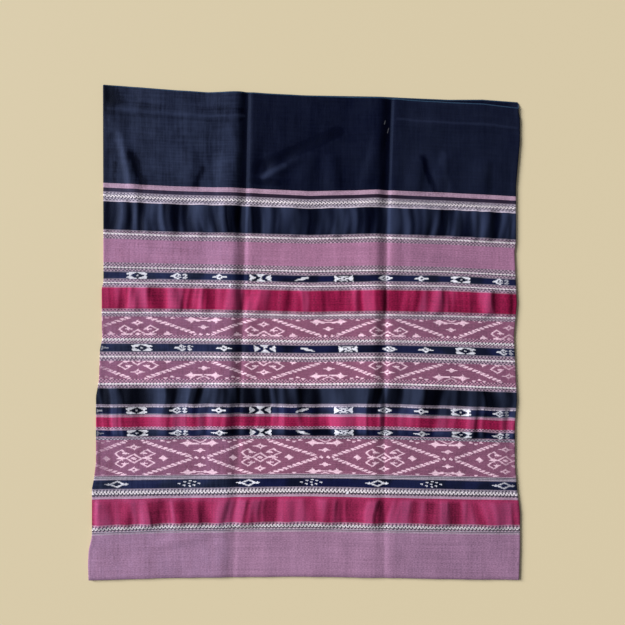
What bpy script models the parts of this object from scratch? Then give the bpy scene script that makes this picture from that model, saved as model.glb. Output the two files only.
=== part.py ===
"""A handwoven tube cloth, laid flat on the ground.

The cloth was woven with its stripes across the page and joined into a tube. It lies with a front layer
over a back layer, which turn into each other in a soft fold down the left and the right side. Both ends
of the tube are open, and at the upper right the back layer shows past the front one.

X runs across the cloth, Y along it and Z up. Every table is in millimetres. The mesh is in metres, and
its origin is the middle of the face that it rests on.
"""

import math

import bmesh
import bpy
import numpy as np

MM = 0.001

# Driving sizes
CLOTH_LENGTH = 721.5
CLOTH_THICKNESS = 1.2
LEAST_GAP = 0.6
SIDE_FOLD_GAP = 1.4
MOST_LIFT = 3.1
MIDDLE_TO_BOTTOM_EDGE = 366.0

# Mesh steps
FRONT_STEPS = 58
BACK_STEPS = 8
FOLD_STEPS = 4
PLAIN_ROW_STEP = 38.0
BAND_ROWS = 4

CLOTH_COLOUR = (0.17, 0.045, 0.11, 1.0)
CLOTH_ROUGHNESS = 0.85

# Plan of the two side folds: distance up the page, and how far the fold reaches from the middle line
LEFT_FOLD = (
    # up, across
    (372.0, -302.3),
    (70.0, -301.5),
    (60.0, -304.3),
    (0.0, -303.8),
    (-12.0, -303.0),
    (-28.0, -306.8),
    (-72.0, -308.3),
    (-96.0, -312.8),
    (-192.0, -312.8),
    (-216.0, -315.8),
    (-230.0, -318.8),
    (-300.0, -318.8),
    (-321.0, -323.8),
    (-342.0, -324.8),
    (-372.0, -323.8),
)
RIGHT_FOLD = (
    (345.0, 323.0),
    (336.0, 324.8),
    (300.0, 324.8),
    (264.0, 321.8),
    (228.0, 318.8),
    (144.0, 318.8),
    (126.0, 316.5),
    (48.0, 320.3),
    (0.0, 315.8),
    (-36.0, 317.3),
    (-96.0, 320.3),
    (-132.0, 317.3),
    (-192.0, 317.3),
    (-228.0, 320.3),
    (-264.0, 324.8),
    (-321.0, 324.8),
    (-372.0, 323.3),
)

# How each stripe line bends as it crosses the front layer: its height above the bottom edge on the
# middle line, and how far it rises above that height at seven even steps from left to right
STRIPE_LINES = (
    # line, height, rise at 0/6, 1/6, 2/6, 3/6, 4/6, 5/6, 6/6
    ("top edge", 721.5, (16.5, 8.7, 6.2, 0.0, -3.0, -8.6, -17.0)),
    ("pink line", 573.8, (12.8, 7.5, 4.8, 0.0, 2.2, -2.0, -7.2)),
    ("upper mauve band", 506.1, (8.4, 4.5, 2.8, 0.0, 2.0, -1.4, -6.6)),
    ("upper magenta band", 435.2, (5.9, 4.6, 2.6, 0.0, 1.6, 0.3, -5.1)),
    ("upper ikat band", 391.4, (5.0, 4.6, 2.8, 0.0, 1.5, -0.6, -3.6)),
    ("black band", 287.4, (0.6, 0.9, 1.2, 0.0, 1.2, -2.0, -6.0)),
    ("lower magenta band", 128.4, (-4.8, -3.0, -1.6, 0.0, -2.1, -4.0, -6.3)),
    ("lower mauve band", 76.7, (-6.3, -2.4, -0.9, 0.0, -1.8, -3.9, -5.0)),
    ("bottom edge", 0.0, (-6.0, -2.4, -0.9, 0.0, -1.8, -3.9, -5.0)),
)

# How far the back layer's top edge reaches past the front layer's, at the same seven steps
BACK_SHOWS = (-3.0, -3.0, -1.5, 1.2, 2.4, 4.6, 9.0)
BACK_SHOWS_DOWN_TO = 110.0

# The creases left by folding the cloth in three: valleys with a raised shoulder on each side
THIRDS_CREASES = (
    # across at the top, across at the bottom, left shoulder, its height, right shoulder, its height
    (-84.0, -86.5, 18.0, 3.0, 9.0, 1.4),
    (128.5, 128.0, 18.0, 3.2, 9.0, 1.3),
)
CROWN_BETWEEN_CREASES = 1.0

# Soft ridges (height over 0) and troughs (under 0) in the plain navy part and beside it
FOLDS = (
    # name, from (across, up), to (across, up), half width, height
    ("cross fold, left third", (-300.0, 337.0), (-92.0, 327.0), 9.0, 1.2),
    ("cross fold, right third", (134.0, 313.0), (318.0, 311.0), 11.0, 1.1),
    ("upper left corner dip", (-298.0, 356.0), (-250.0, 350.0), 14.0, -1.0),
    ("left ridge", (-275.0, 300.0), (-241.0, 156.0), 13.0, 2.6),
    ("middle diagonal trough", (-70.0, 241.0), (24.0, 296.0), 13.0, -1.2),
    ("middle diagonal ridge", (-62.0, 229.0), (-4.0, 262.0), 11.0, 1.5),
    ("ridge beside the right crease", (92.0, 218.0), (114.0, 300.0), 13.0, 1.6),
)

# Bands whose tighter yarns pucker: each takes its puckers from a row of the table below
PUCKERED_BANDS = (
    # puckers, bottom edge, top edge
    ("navy foot", 577.0, 634.0),
    ("navy", 512.0, 552.0),
    ("magenta", 397.0, 429.0),
    ("black", 258.0, 282.0),
    ("black", 223.0, 239.0),
    ("lower magenta", 79.0, 116.0),
)
PUCKERS = {
    # crest across, rise on its left, fall on its right, height
    "navy foot": (
        (-168.0, 24.0, 12.0, 1.0),
        (-108.0, 36.0, 14.0, 1.4),
        (-42.0, 22.0, 16.0, 1.1),
        (6.0, 24.0, 18.0, 1.1),
        (47.0, 20.0, 12.0, 1.4),
        (172.0, 24.0, 12.0, 1.3),
        (206.0, 18.0, 14.0, 1.3),
        (270.0, 26.0, 14.0, 1.3),
    ),
    "navy": (
        (-266.0, 16.0, 10.0, 1.5),
        (-199.0, 22.0, 12.0, 2.1),
        (-154.0, 18.0, 14.0, 2.0),
        (-110.0, 24.0, 14.0, 2.7),
        (-19.0, 38.0, 12.0, 2.1),
        (42.0, 14.0, 14.0, 2.1),
        (88.0, 28.0, 18.0, 2.1),
        (178.0, 24.0, 16.0, 1.7),
        (226.0, 18.0, 10.0, 1.8),
        (256.0, 14.0, 8.0, 2.1),
        (276.0, 14.0, 10.0, 2.1),
        (304.0, 16.0, 10.0, 1.4),
    ),
    "magenta": (
        (-258.0, 14.0, 12.0, 1.7),
        (-232.0, 10.0, 16.0, 1.8),
        (-195.0, 16.0, 12.0, 2.1),
        (-149.0, 20.0, 14.0, 2.2),
        (-107.0, 26.0, 14.0, 2.5),
        (-68.0, 12.0, 20.0, 1.7),
        (-30.0, 12.0, 10.0, 1.8),
        (-7.0, 12.0, 12.0, 1.8),
        (22.0, 18.0, 14.0, 2.1),
        (74.0, 16.0, 22.0, 1.7),
        (116.0, 18.0, 9.0, 2.1),
        (166.0, 20.0, 16.0, 1.7),
        (202.0, 14.0, 10.0, 1.8),
        (245.0, 18.0, 12.0, 1.7),
        (276.0, 14.0, 12.0, 2.0),
        (306.0, 14.0, 10.0, 1.4),
    ),
    "black": (
        (-293.0, 12.0, 30.0, 1.4),
        (-262.0, 18.0, 14.0, 1.5),
        (-200.0, 30.0, 12.0, 1.8),
        (-166.0, 12.0, 18.0, 2.0),
        (-119.0, 26.0, 16.0, 2.2),
        (-17.0, 18.0, 14.0, 1.7),
        (11.0, 12.0, 16.0, 1.4),
        (56.0, 20.0, 26.0, 2.1),
        (112.0, 28.0, 10.0, 2.0),
        (188.0, 36.0, 20.0, 2.1),
        (252.0, 26.0, 12.0, 1.8),
        (291.0, 26.0, 18.0, 2.1),
    ),
    "lower magenta": (
        (-309.0, 8.0, 26.0, 1.7),
        (-230.0, 16.0, 26.0, 2.1),
        (-128.0, 44.0, 16.0, 1.8),
        (-88.0, 24.0, 34.0, 2.4),
        (-14.0, 16.0, 12.0, 1.5),
        (38.0, 28.0, 18.0, 2.0),
        (106.0, 36.0, 16.0, 2.2),
        (200.0, 28.0, 24.0, 1.8),
        (284.0, 30.0, 22.0, 2.2),
    ),
}


def read_across(table, place):
    """The value at place in a table of (place, value) rows that runs downwards."""
    rising = table[::-1]
    return float(np.interp(place, [row[0] for row in rising], [row[1] for row in rising]))


def read_steps(values, across):
    """The value at a share of the way across, in a row of evenly spaced values."""
    return float(np.interp(across, np.linspace(0.0, 1.0, len(values)), values))


def smooth(share):
    """0 to 1 with a soft start and a soft end."""
    share = min(max(share, 0.0), 1.0)
    return share * share * (3.0 - 2.0 * share)


def bump(distance, half_width):
    """1 on a fold's line and 0 at half_width from it, rounded at both."""
    return 1.0 - smooth(abs(distance) / half_width)


def arch(share, fullness):
    """0 at both ends and 1 in the middle; a lower fullness makes steeper ends and a flatter middle."""
    return max(math.sin(math.pi * share), 0.0) ** fullness


def page_height(across, height):
    """Where a point of the front layer lies up the page, from its height above the bottom edge."""
    heights = [line[1] for line in STRIPE_LINES][::-1]
    rises = [read_steps(line[2], across) for line in STRIPE_LINES][::-1]
    return height - MIDDLE_TO_BOTTOM_EDGE + float(np.interp(height, heights, rises))


def back_page_height(across, height):
    """The same for the back layer, which slips up past the front one near its top edge."""
    slipped = smooth(1.0 - (CLOTH_LENGTH - height) / BACK_SHOWS_DOWN_TO)
    return page_height(across, height) + slipped * read_steps(BACK_SHOWS, across)


def crease_line(crease, up):
    """Where a crease of the folding in three lies across, at a place up the page."""
    top, bottom = crease[0], crease[1]
    share = (up + MIDDLE_TO_BOTTOM_EDGE) / (2.0 * MIDDLE_TO_BOTTOM_EDGE)
    return bottom + (top - bottom) * share


def shoulder_lift(across, up):
    """The raised shoulders on both sides of each crease, which end in the crease itself."""
    lift = 0.0
    for crease in THIRDS_CREASES:
        _, _, left_width, left_height, right_width, right_height = crease
        off = across - crease_line(crease, up)
        width, height = (left_width, left_height) if off < 0.0 else (right_width, right_height)
        reach = abs(off) / width
        lift += height * smooth(reach) * (1.0 - smooth((reach - 1.0) / 2.0))
    return lift


def crown_lift(across, up, left, right):
    """The low crown of each third, which the creases and the side folds hold down."""
    lines = [left] + [crease_line(crease, up) for crease in THIRDS_CREASES] + [right]
    for low, high in zip(lines, lines[1:]):
        if low <= across <= high:
            return CROWN_BETWEEN_CREASES * arch((across - low) / (high - low), 0.5)
    return 0.0


def fold_lift(across, up):
    """The soft ridges and troughs that run anywhere in the front layer."""
    lift = 0.0
    for _, start, end, half_width, height in FOLDS:
        along = (end[0] - start[0], end[1] - start[1])
        length = math.hypot(*along)
        offset = (across - start[0], up - start[1])
        share = (offset[0] * along[0] + offset[1] * along[1]) / length**2
        aside = (offset[1] * along[0] - offset[0] * along[1]) / length
        ends = smooth((share + 0.15) / 0.3) * smooth((1.15 - share) / 0.3)
        lift += height * ends * bump(aside, half_width)
    return lift


def pucker_lift(across, height):
    """The short ripples of the bands whose yarns were woven tighter."""
    lift = 0.0
    for name, low, high in PUCKERED_BANDS:
        if not low < height < high:
            continue
        share = arch((height - low) / (high - low), 0.7)
        for crest, rise, fall, most in PUCKERS[name]:
            lift += most * share * bump(across - crest, rise if across < crest else fall)
    return lift


def front_lift(across, up, height, left, right):
    """How far the front layer stands above its lowest place, held under MOST_LIFT."""
    lift = crown_lift(across, up, left, right) + shoulder_lift(across, up)
    lift += fold_lift(across, up) + pucker_lift(across, height)
    hold = smooth((across - left) / 9.0) * smooth((right - across) / 9.0)
    return hold * MOST_LIFT * math.tanh(max(lift, 0.0) / MOST_LIFT)


def cloth_point(place, height):
    """A point of the cloth's middle surface: place is a (layer, share) pair round the tube."""
    layer, share = place
    low = CLOTH_THICKNESS / 2.0
    radius = (CLOTH_THICKNESS + SIDE_FOLD_GAP) / 2.0
    middle = low + radius
    across = {"right": 1.0, "left": 0.0}.get(layer, share)
    front_up = page_height(across, height)
    back_up = back_page_height(across, height)
    inset = CLOTH_THICKNESS / 2.0 + radius
    left = read_across(LEFT_FOLD, front_up) + inset
    right = read_across(RIGHT_FOLD, front_up) - inset
    x = left + across * (right - left)
    if layer == "front":
        least = CLOTH_THICKNESS + LEAST_GAP
        lift = front_lift(x, front_up, height, left, right)
        ends = 1.0 - smooth((x - left) / 9.0) * smooth((right - x) / 9.0)
        return (x, front_up, low + least + ends * (2.0 * radius - least) + lift)
    if layer == "back":
        return (x, back_up, low)
    angle = math.pi * share
    outward = math.sin(angle) * radius
    up = back_up + (front_up - back_up) * (1.0 - math.cos(angle)) / 2.0
    return (x + (outward if layer == "right" else -outward), up, middle - math.cos(angle) * radius)


def places_round():
    """The mesh's columns, once round the tube from the front layer's left end."""
    places = [("front", step / FRONT_STEPS) for step in range(FRONT_STEPS + 1)]
    places += [("right", 1.0 - step / FOLD_STEPS) for step in range(1, FOLD_STEPS)]
    places += [("back", 1.0 - step / BACK_STEPS) for step in range(BACK_STEPS + 1)]
    places += [("left", step / FOLD_STEPS) for step in range(1, FOLD_STEPS)]
    return places + [places[0]]


def row_heights():
    """The mesh's rows: a few in each puckered band, and even steps between the bands."""
    edges = {0.0, CLOTH_LENGTH}
    rows = set()
    for _, low, high in PUCKERED_BANDS:
        edges.update((low, high))
        rows.update(np.linspace(low, high, BAND_ROWS + 1).tolist())
    marks = sorted(edges)
    for low, high in zip(marks, marks[1:]):
        if low not in [band[1] for band in PUCKERED_BANDS]:
            rows.update(np.linspace(low, high, 1 + math.ceil((high - low) / PLAIN_ROW_STEP)).tolist())
    return sorted(rows)


def cloth_material():
    """One plain colour, between the navy and the mauve stripes."""
    material = bpy.data.materials.new("handwoven_cotton")
    material.use_nodes = True
    shader = material.node_tree.nodes["Principled BSDF"]
    shader.inputs["Base Color"].default_value = CLOTH_COLOUR
    shader.inputs["Roughness"].default_value = CLOTH_ROUGHNESS
    shader.inputs["Metallic"].default_value = 0.0
    return material


def tube_mesh(name):
    """A flat grid bent into the flattened tube and welded along its one joining line."""
    places = places_round()
    heights = row_heights()
    cloth = bmesh.new()
    bmesh.ops.create_grid(
        cloth, x_segments=len(places) - 1, y_segments=len(heights) - 1, size=0.5
    )
    for vert in cloth.verts:
        column = round((vert.co.x + 0.5) * (len(places) - 1))
        row = round((vert.co.y + 0.5) * (len(heights) - 1))
        vert.co = [value * MM for value in cloth_point(places[column], heights[row])]
    bmesh.ops.remove_doubles(cloth, verts=cloth.verts, dist=0.01 * MM)
    bmesh.ops.recalc_face_normals(cloth, faces=cloth.faces)
    mesh = bpy.data.meshes.new(name)
    cloth.to_mesh(mesh)
    cloth.free()
    mesh.shade_smooth()
    return mesh


def make_cloth(collection):
    """The tube cloth, one closed solid with the cloth's thickness."""
    cloth = bpy.data.objects.new("tube_cloth", tube_mesh("tube_cloth"))
    cloth.data.materials.append(cloth_material())
    thickness = cloth.modifiers.new("thickness", "SOLIDIFY")
    thickness.thickness = CLOTH_THICKNESS * MM
    thickness.offset = 0.0
    thickness.use_even_offset = True
    collection.objects.link(cloth)
    return cloth


def main():
    for old in list(bpy.data.objects):
        bpy.data.objects.remove(old, do_unlink=True)
    collection = bpy.data.collections.new("handwoven_tube_cloth")
    bpy.context.scene.collection.children.link(collection)
    make_cloth(collection)


main()
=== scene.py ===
"""The looks of a handwoven tube cloth, laid flat on a pale floor.

The cloth is warp-faced cotton: its warp runs across the page and makes the stripes, some of which were
tied and dyed before weaving. It is joined into a tube and lies with a front layer over a back layer.

X runs across the cloth, Y along it and Z up. Sizes are in millimetres, and the meshes are in metres.
Heights are measured along the cloth from its bottom edge.
"""

import math

import bmesh
import bpy
import numpy as np
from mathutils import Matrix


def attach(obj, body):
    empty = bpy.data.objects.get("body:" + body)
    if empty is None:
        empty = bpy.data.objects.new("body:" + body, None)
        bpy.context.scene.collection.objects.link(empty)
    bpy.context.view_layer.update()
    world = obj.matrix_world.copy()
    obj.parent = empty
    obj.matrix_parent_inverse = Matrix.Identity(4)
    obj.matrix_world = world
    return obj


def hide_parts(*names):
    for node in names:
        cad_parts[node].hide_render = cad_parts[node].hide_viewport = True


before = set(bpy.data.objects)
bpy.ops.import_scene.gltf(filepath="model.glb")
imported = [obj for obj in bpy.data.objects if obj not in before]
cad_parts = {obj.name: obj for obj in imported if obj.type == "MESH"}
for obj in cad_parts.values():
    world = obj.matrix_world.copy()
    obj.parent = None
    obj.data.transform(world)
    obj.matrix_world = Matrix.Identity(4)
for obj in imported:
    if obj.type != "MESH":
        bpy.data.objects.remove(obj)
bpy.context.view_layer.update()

MM = 0.001

# Driving sizes of the cloth
CLOTH_LENGTH = 721.5
CLOTH_THICKNESS = 1.2
LEAST_GAP = 0.6
SIDE_FOLD_GAP = 1.4
MOST_LIFT = 7.0
PUCKER_STRENGTH = 2.3
MIDDLE_TO_BOTTOM_EDGE = 366.0
SELVAGE_ROUNDING = 0.35
FOLD_RUN_OUT = 0.15
SIDE_HOLD = 9.0
CROWN_FULLNESS = 0.5
PUCKER_FULLNESS = 0.4

# Mesh steps: columns in each third of the front, in the back and in each side fold
THIRD_COLUMNS = (80, 78, 70)
THIRD_CROWDING = 0.5
BACK_COLUMNS = 24
FOLD_COLUMNS = 7
PLAIN_ROW_STEP = 5.6
BAND_ROW_STEP = 3.6

# Plan of the two side folds
LEFT_FOLD = (
    # up, across
    (372, -302.3), (70, -301.5), (60, -304.3), (0, -303.8), (-12, -303), (-28, -306.8), (-72, -308.3),
    (-96, -312.8), (-192, -312.8), (-216, -315.8), (-230, -318.8), (-300, -318.8), (-321, -323.8),
    (-342, -324.8), (-372, -323.8),
)
RIGHT_FOLD = (
    # up, across
    (345, 323), (336, 324.8), (300, 324.8), (264, 321.8), (228, 318.8), (144, 318.8), (126, 316.5),
    (48, 320.3), (0, 315.8), (-36, 317.3), (-96, 320.3), (-132, 317.3), (-192, 317.3), (-228, 320.3),
    (-264, 324.8), (-321, 324.8), (-372, 323.3),
)

# How the stripe lines bend as they cross the front layer
STRIPE_LINES = (
    # line, height, rise at even steps from left to right
    ("top edge", 721.5, (16.5, 12.6, 8.4, 5.2, 5.9, 2.6, 0, -1.5, -3, -6.6, -9.9, -11.9, -18)),
    ("pink line", 573.8, (12.8, 7.5, 4.8, 0, 2.2, -2, -7.2)),
    ("upper mauve band", 506.1, (8.4, 4.5, 2.8, 0, 2, -1.4, -6.6)),
    ("upper magenta band", 435.2, (5.9, 4.6, 2.6, 0, 1.6, 0.3, -5.1)),
    ("upper ikat band", 391.4, (5, 4.6, 2.8, 0, 1.5, -0.6, -3.6)),
    ("black band", 287.4, (0.6, 0.9, 1.2, 0, 1.2, -2, -6)),
    ("lower magenta band", 128.4, (-4.8, -3, -1.6, 0, -2.1, -4, -6.3)),
    ("lower mauve band", 76.7, (-6.3, -2.4, -0.9, 0, -1.8, -3.9, -5)),
    ("bottom edge", 0, (-6, -2.4, -0.9, 0, -1.8, -3.9, -5)),
)

# How far the back layer's top edge reaches past the front layer's, at even steps
BACK_SHOWS = (-3, -3, -1.5, 1.2, 2.4, 4.6, 9)
BACK_SHOWS_DOWN_TO = 110.0

# The creases left by folding the cloth in three, with a raised shoulder on each side
THIRDS_CREASES = (
    # across at the top, middle and bottom, left shoulder, its height, right shoulder, its height
    (-84.5, -93, -107, 18, 3, 9, 1.4),
    (131, 121.5, 121, 18, 3.2, 9, 1.3),
)
CROWN_BETWEEN_CREASES = 1.0

# Down the cloth the creases fade between two heights to a share, and their shoulders lose a share
CREASE_FADES = (110, 350, 0.14)
SHOULDERS_LOSE = 0.7

# Soft ridges (height over 0) and troughs (under 0)
FOLDS = (
    # name, from (across, up), to (across, up), half width, height
    ("cross fold, left third", (-300, 337), (-92, 327), 9, 1.2),
    ("cross fold, right third", (134, 313), (318, 311), 11, 1.1),
    ("upper left corner dip", (-298, 356), (-250, 350), 14, -1),
    ("left ridge", (-275, 300), (-241, 156), 13, 2.6),
    ("middle diagonal trough", (-70, 241), (24, 296), 13, -1.2),
    ("middle diagonal ridge", (-62, 229), (-4, 262), 11, 1.5),
    ("ridge beside the right crease", (92, 218), (114, 300), 13, 1.6),
    ("low left ridge", (-225, -322), (-110, -292), 11, 1.2),
)

# Low waves of cloth that was folded away and laid out again
SETTLE_WAVES = (
    # length across, length up, turn, height
    (61, 380, 0.4, 0.16),
    (37, -240, 2.1, 0.12),
    (190, 97, 4.0, 0.18),
    (-83, 131, 1.2, 0.14),
    (23, 310, 5.1, 0.07),
)

# Bands whose tighter yarns pucker
PUCKERED_BANDS = (
    # puckers, bottom edge, top edge
    ("navy foot", 574, 634), ("navy", 506, 558), ("magenta", 391, 435), ("black", 208, 289),
    ("lower magenta", 74, 121),
)
PUCKERS = {
    # crest across, rise on its left, fall on its right, height, lean across the band
    "navy foot": (
        (-168, 24, 12, 1, 4), (-108, 36, 14, 1.4, 6), (-42, 22, 16, 1.1, -4), (6, 24, 18, 1.1, 0),
        (47, 20, 12, 1.4, -6), (172, 24, 12, 1.3, 8), (206, 18, 14, 1.3, 8), (270, 26, 14, 1.3, 4),
    ),
    "navy": (
        (-266, 16, 10, 1.5, -4), (-199, 22, 12, 2.1, -4), (-154, 18, 14, 2, 3), (-110, 24, 14, 2.7, 4),
        (-19, 38, 12, 2.1, -3), (42, 14, 14, 2.1, -6), (88, 28, 18, 2.1, 6), (178, 24, 16, 1.7, 6),
        (226, 18, 10, 1.8, 5), (256, 14, 8, 2.1, 3), (276, 14, 10, 2.1, 3), (304, 16, 10, 1.4, 0),
    ),
    "magenta": (
        (-258, 14, 12, 1.7, -12), (-232, 10, 16, 1.8, -14), (-195, 16, 12, 2.1, -10),
        (-149, 20, 14, 2.2, -6), (-107, 26, 14, 2.5, -4), (-68, 12, 20, 1.7, 4), (-30, 12, 10, 1.8, 4),
        (-7, 12, 12, 1.8, 2), (22, 18, 14, 2.1, 0), (74, 16, 22, 1.7, 3), (116, 18, 9, 2.1, 0),
        (166, 20, 16, 1.7, 8), (202, 14, 10, 1.8, 6), (245, 18, 12, 1.7, 6), (276, 14, 12, 2, 4),
        (306, 14, 10, 1.4, 0),
    ),
    "black": (
        (-293, 12, 30, 1.4, 0), (-262, 18, 14, 1.5, 2), (-200, 30, 12, 1.8, 0), (-166, 12, 18, 2, 0),
        (-119, 26, 16, 2.2, -2), (-17, 18, 14, 1.7, 3), (11, 12, 16, 1.4, 3), (56, 20, 26, 2.1, 0),
        (112, 28, 10, 2, 0), (188, 36, 20, 2.1, 3), (252, 26, 12, 1.8, 3), (291, 26, 18, 2.1, 0),
    ),
    "lower magenta": (
        (-309, 8, 26, 1.7, 0), (-264, 14, 10, 1.2, 3), (-232, 16, 22, 2.1, 3), (-188, 13, 11, 1.5, -4),
        (-160, 13, 12, 1.2, 0), (-124, 26, 10, 1.9, 12), (-88, 18, 30, 2.2, 4), (-26, 14, 12, 1.4, -2),
        (38, 28, 18, 2, 0), (106, 36, 16, 2.2, -4), (200, 28, 24, 1.8, 4), (284, 30, 22, 2.2, 0),
    ),
}

# Colours of the yarns, as red, green and blue out of 255
YARNS = {
    "turquoise": (36, 58, 80),
    "navy": (4, 6, 27),
    "tied navy": (17, 20, 58),
    "ash": (136, 124, 140),
    "rose ash": (166, 112, 134),
    "black": (4, 4, 14),
    "plum": (40, 27, 42),
    "mauve": (165, 115, 147),
    "low mauve": (158, 119, 149),
    "magenta": (164, 30, 78),
    "low magenta": (154, 40, 82),
    "dusty rose": (139, 87, 113),
    "pink": (174, 142, 165),
    "light rose": (180, 126, 152),
    "white": (232, 222, 230),
    "grey": (186, 174, 190),
    "mauve grey": (188, 160, 180),
    "dark grey": (164, 142, 157),
    "rose grey": (205, 151, 178),
}

# The warp, from the top edge down. Picked yarns alternate with dark ones: a chain makes a rope of staggered
# floats, a line one row of long floats, and a speckle rows of dots.
WARP_PLAN = (
    # yarn, width, how it is picked, which is left out for a plain stripe
    ("turquoise", 1.4),
    ("navy", 142.1),
    ("pink", 6.8), ("plum", 5.4), ("ash", 1.2), ("grey", 3.0, "speckle"), ("white", 3.6, "chain"),
    ("plum", 0.7), ("grey", 3.8, "speckle"), ("grey", 1.7),
    ("navy", 39.3),
    ("ash", 1.4), ("mauve grey", 3.2, "speckle"), ("white", 2.1, "line"), ("mauve grey", 6.3, "speckle"),
    ("mauve", 34.5),
    ("mauve grey", 6.4, "speckle"), ("white", 1.9, "line"), ("plum", 0.7), ("mauve grey", 3.9, "speckle"),
    ("ash", 1.4),
    ("tied navy", 9.0),
    ("ash", 1.4), ("mauve grey", 4.2, "speckle"), ("white", 1.9, "line"), ("plum", 0.8),
    ("mauve grey", 3.9, "speckle"), ("rose ash", 1.6),
    ("magenta", 30.5),
    ("rose ash", 1.4), ("rose grey", 3.6, "speckle"), ("white", 1.9, "line"),
    ("mauve grey", 5.1, "speckle"),
    ("dusty rose", 26.2),
    ("rose grey", 5.2, "speckle"), ("white", 3.3, "chain"), ("mauve grey", 3.5, "speckle"), ("ash", 1.2),
    ("tied navy", 10.9),
    ("ash", 1.4), ("mauve grey", 5.0, "speckle"), ("white", 2.1, "line"), ("mauve grey", 5.0, "speckle"),
    ("dusty rose", 26.4),
    ("rose grey", 5.7, "speckle"), ("white", 2.4, "line"), ("plum", 0.6), ("mauve grey", 3.6, "speckle"),
    ("ash", 1.2),
    ("black", 23.0),
    ("ash", 2.8), ("grey", 2.0, "line"),
    ("tied navy", 9.0),
    ("ash", 2.0), ("light rose", 3.0),
    ("magenta", 14.1),
    ("rose grey", 3.0, "speckle"), ("pink", 2.1),
    ("tied navy", 8.8),
    ("pink", 1.7), ("grey", 3.4, "speckle"),
    ("dusty rose", 51.9),
    ("mauve grey", 1.4), ("plum", 0.9), ("grey", 1.2), ("plum", 0.9), ("grey", 1.3), ("ash", 1.4),
    ("tied navy", 12.4),
    ("ash", 1.4), ("grey", 2.3, "speckle"), ("white", 4.8, "chain"), ("plum", 1.1),
    ("dark grey", 2.0, "speckle"), ("pink", 3.4),
    ("low magenta", 37.5),
    ("rose ash", 1.4), ("rose grey", 2.8, "speckle"), ("white", 4.2, "chain"), ("plum", 0.9),
    ("mauve grey", 1.6, "speckle"), ("grey", 1.0), ("plum", 0.8), ("mauve grey", 1.2), ("ash", 0.8),
    ("mauve grey", 0.8),
    ("low mauve", 67.5),
)
DARK_YARN = (34, 26, 42)

# Codes that tell how a stripe is picked, which the colour ramps carry as their alpha
PLAIN_CODE = 1.0
SPECKLE_CODES = (0.0, 0.8)
LINE_CODE = 0.1
CHAIN_CODES = (0.2, 0.7)
CHAIN_CODES_SPAN = 0.35
MOST_STOPS = 30
LONGEST_RAMP = 85.0

# Floats of the picked yarns: rows and pitch in millimetres, and reaches as shares of the pitch
CHAIN_ROW = 2.0
SPECKLE_ROW = 2.0
CHAIN_PITCH = 5.3
CHAIN_REACH = 0.34
CHAIN_WEAR = 0.2
LINE_REACH = 0.1
FLOAT_EDGE = (-0.05, 0.05)
ROPE_DRIFT = 7.0
SPECKLE_REACH = 0.36
SPECKLE_WEAR = 0.9
SPECKLE_EDGE = (-0.1, 0.1, 0.2)


def linear(colour):
    """A colour out of 255 as the linear numbers that shaders take."""
    shares = [value / 255.0 for value in colour]
    return tuple(s / 12.92 if s <= 0.04045 else ((s + 0.055) / 1.055) ** 2.4 for s in shares) + (1.0,)


def read(table, places):
    """Values at places, in a table of (place, value) rows that runs downwards."""
    rising = np.array(table)[::-1]
    return np.interp(places, rising[:, 0], rising[:, 1])


def read_steps(values, shares):
    """Values at shares of the way across, in a row of evenly spaced values."""
    return np.interp(shares, np.linspace(0.0, 1.0, len(values)), values)


def smooth(shares):
    """0 to 1 with a soft start and a soft end."""
    shares = np.clip(shares, 0.0, 1.0)
    return shares * shares * (3.0 - 2.0 * shares)


def bump(distances, half_widths):
    """1 on a fold's line and 0 at half_width from it, rounded at both."""
    return 1.0 - smooth(np.abs(distances) / half_widths)


def arch(shares, fullness):
    """0 at both ends and 1 in the middle; a lower fullness makes steeper ends and a flatter middle."""
    return np.maximum(np.sin(math.pi * np.clip(shares, 0.0, 1.0)), 0.0) ** fullness


def page_heights(shares, heights):
    """Where points of the front layer lie up the page, from their heights above the bottom edge."""
    line_heights = [line[1] for line in STRIPE_LINES][::-1]
    rises = [read_steps(line[2], shares) for line in STRIPE_LINES][::-1]
    above = np.searchsorted(line_heights, heights[:, 0], side="right").clip(1, len(line_heights) - 1)
    ups = np.empty(np.broadcast(shares, heights).shape)
    for row, high in enumerate(above):
        low = high - 1
        span = line_heights[high] - line_heights[low]
        part = (heights[row, 0] - line_heights[low]) / span
        bend = rises[low][row] * (1.0 - part) + rises[high][row] * part
        ups[row] = heights[row, 0] - MIDDLE_TO_BOTTOM_EDGE + bend
    return ups


def crease_bend(crease):
    """The steady and the turning part of a crease's way across, from the bottom edge to the top."""
    top, middle, bottom = crease[:3]
    return 4.0 * middle - 3.0 * bottom - top, 2.0 * (top + bottom - 2.0 * middle)


def crease_line(crease, ups):
    """Where a crease of the folding in three lies across, at places up the page."""
    steady, turning = crease_bend(crease)
    share = (ups + MIDDLE_TO_BOTTOM_EDGE) / (2.0 * MIDDLE_TO_BOTTOM_EDGE)
    return crease[2] + share * (steady + share * turning)


def shoulder_lift(across, ups):
    """The raised shoulders on both sides of each crease, which end in the crease itself."""
    lift = np.zeros_like(across)
    for crease in THIRDS_CREASES:
        left_width, left_height, right_width, right_height = crease[3:]
        off = across - crease_line(crease, ups)
        width = np.where(off < 0.0, left_width, right_width)
        height = np.where(off < 0.0, left_height, right_height)
        reach = np.abs(off) / width
        lift += height * smooth(reach) * (1.0 - smooth((reach - 1.0) / 2.0))
    return lift * (1.0 - SHOULDERS_LOSE * (1.0 - smooth((ups + MIDDLE_TO_BOTTOM_EDGE) / CREASE_FADES[1])))


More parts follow.
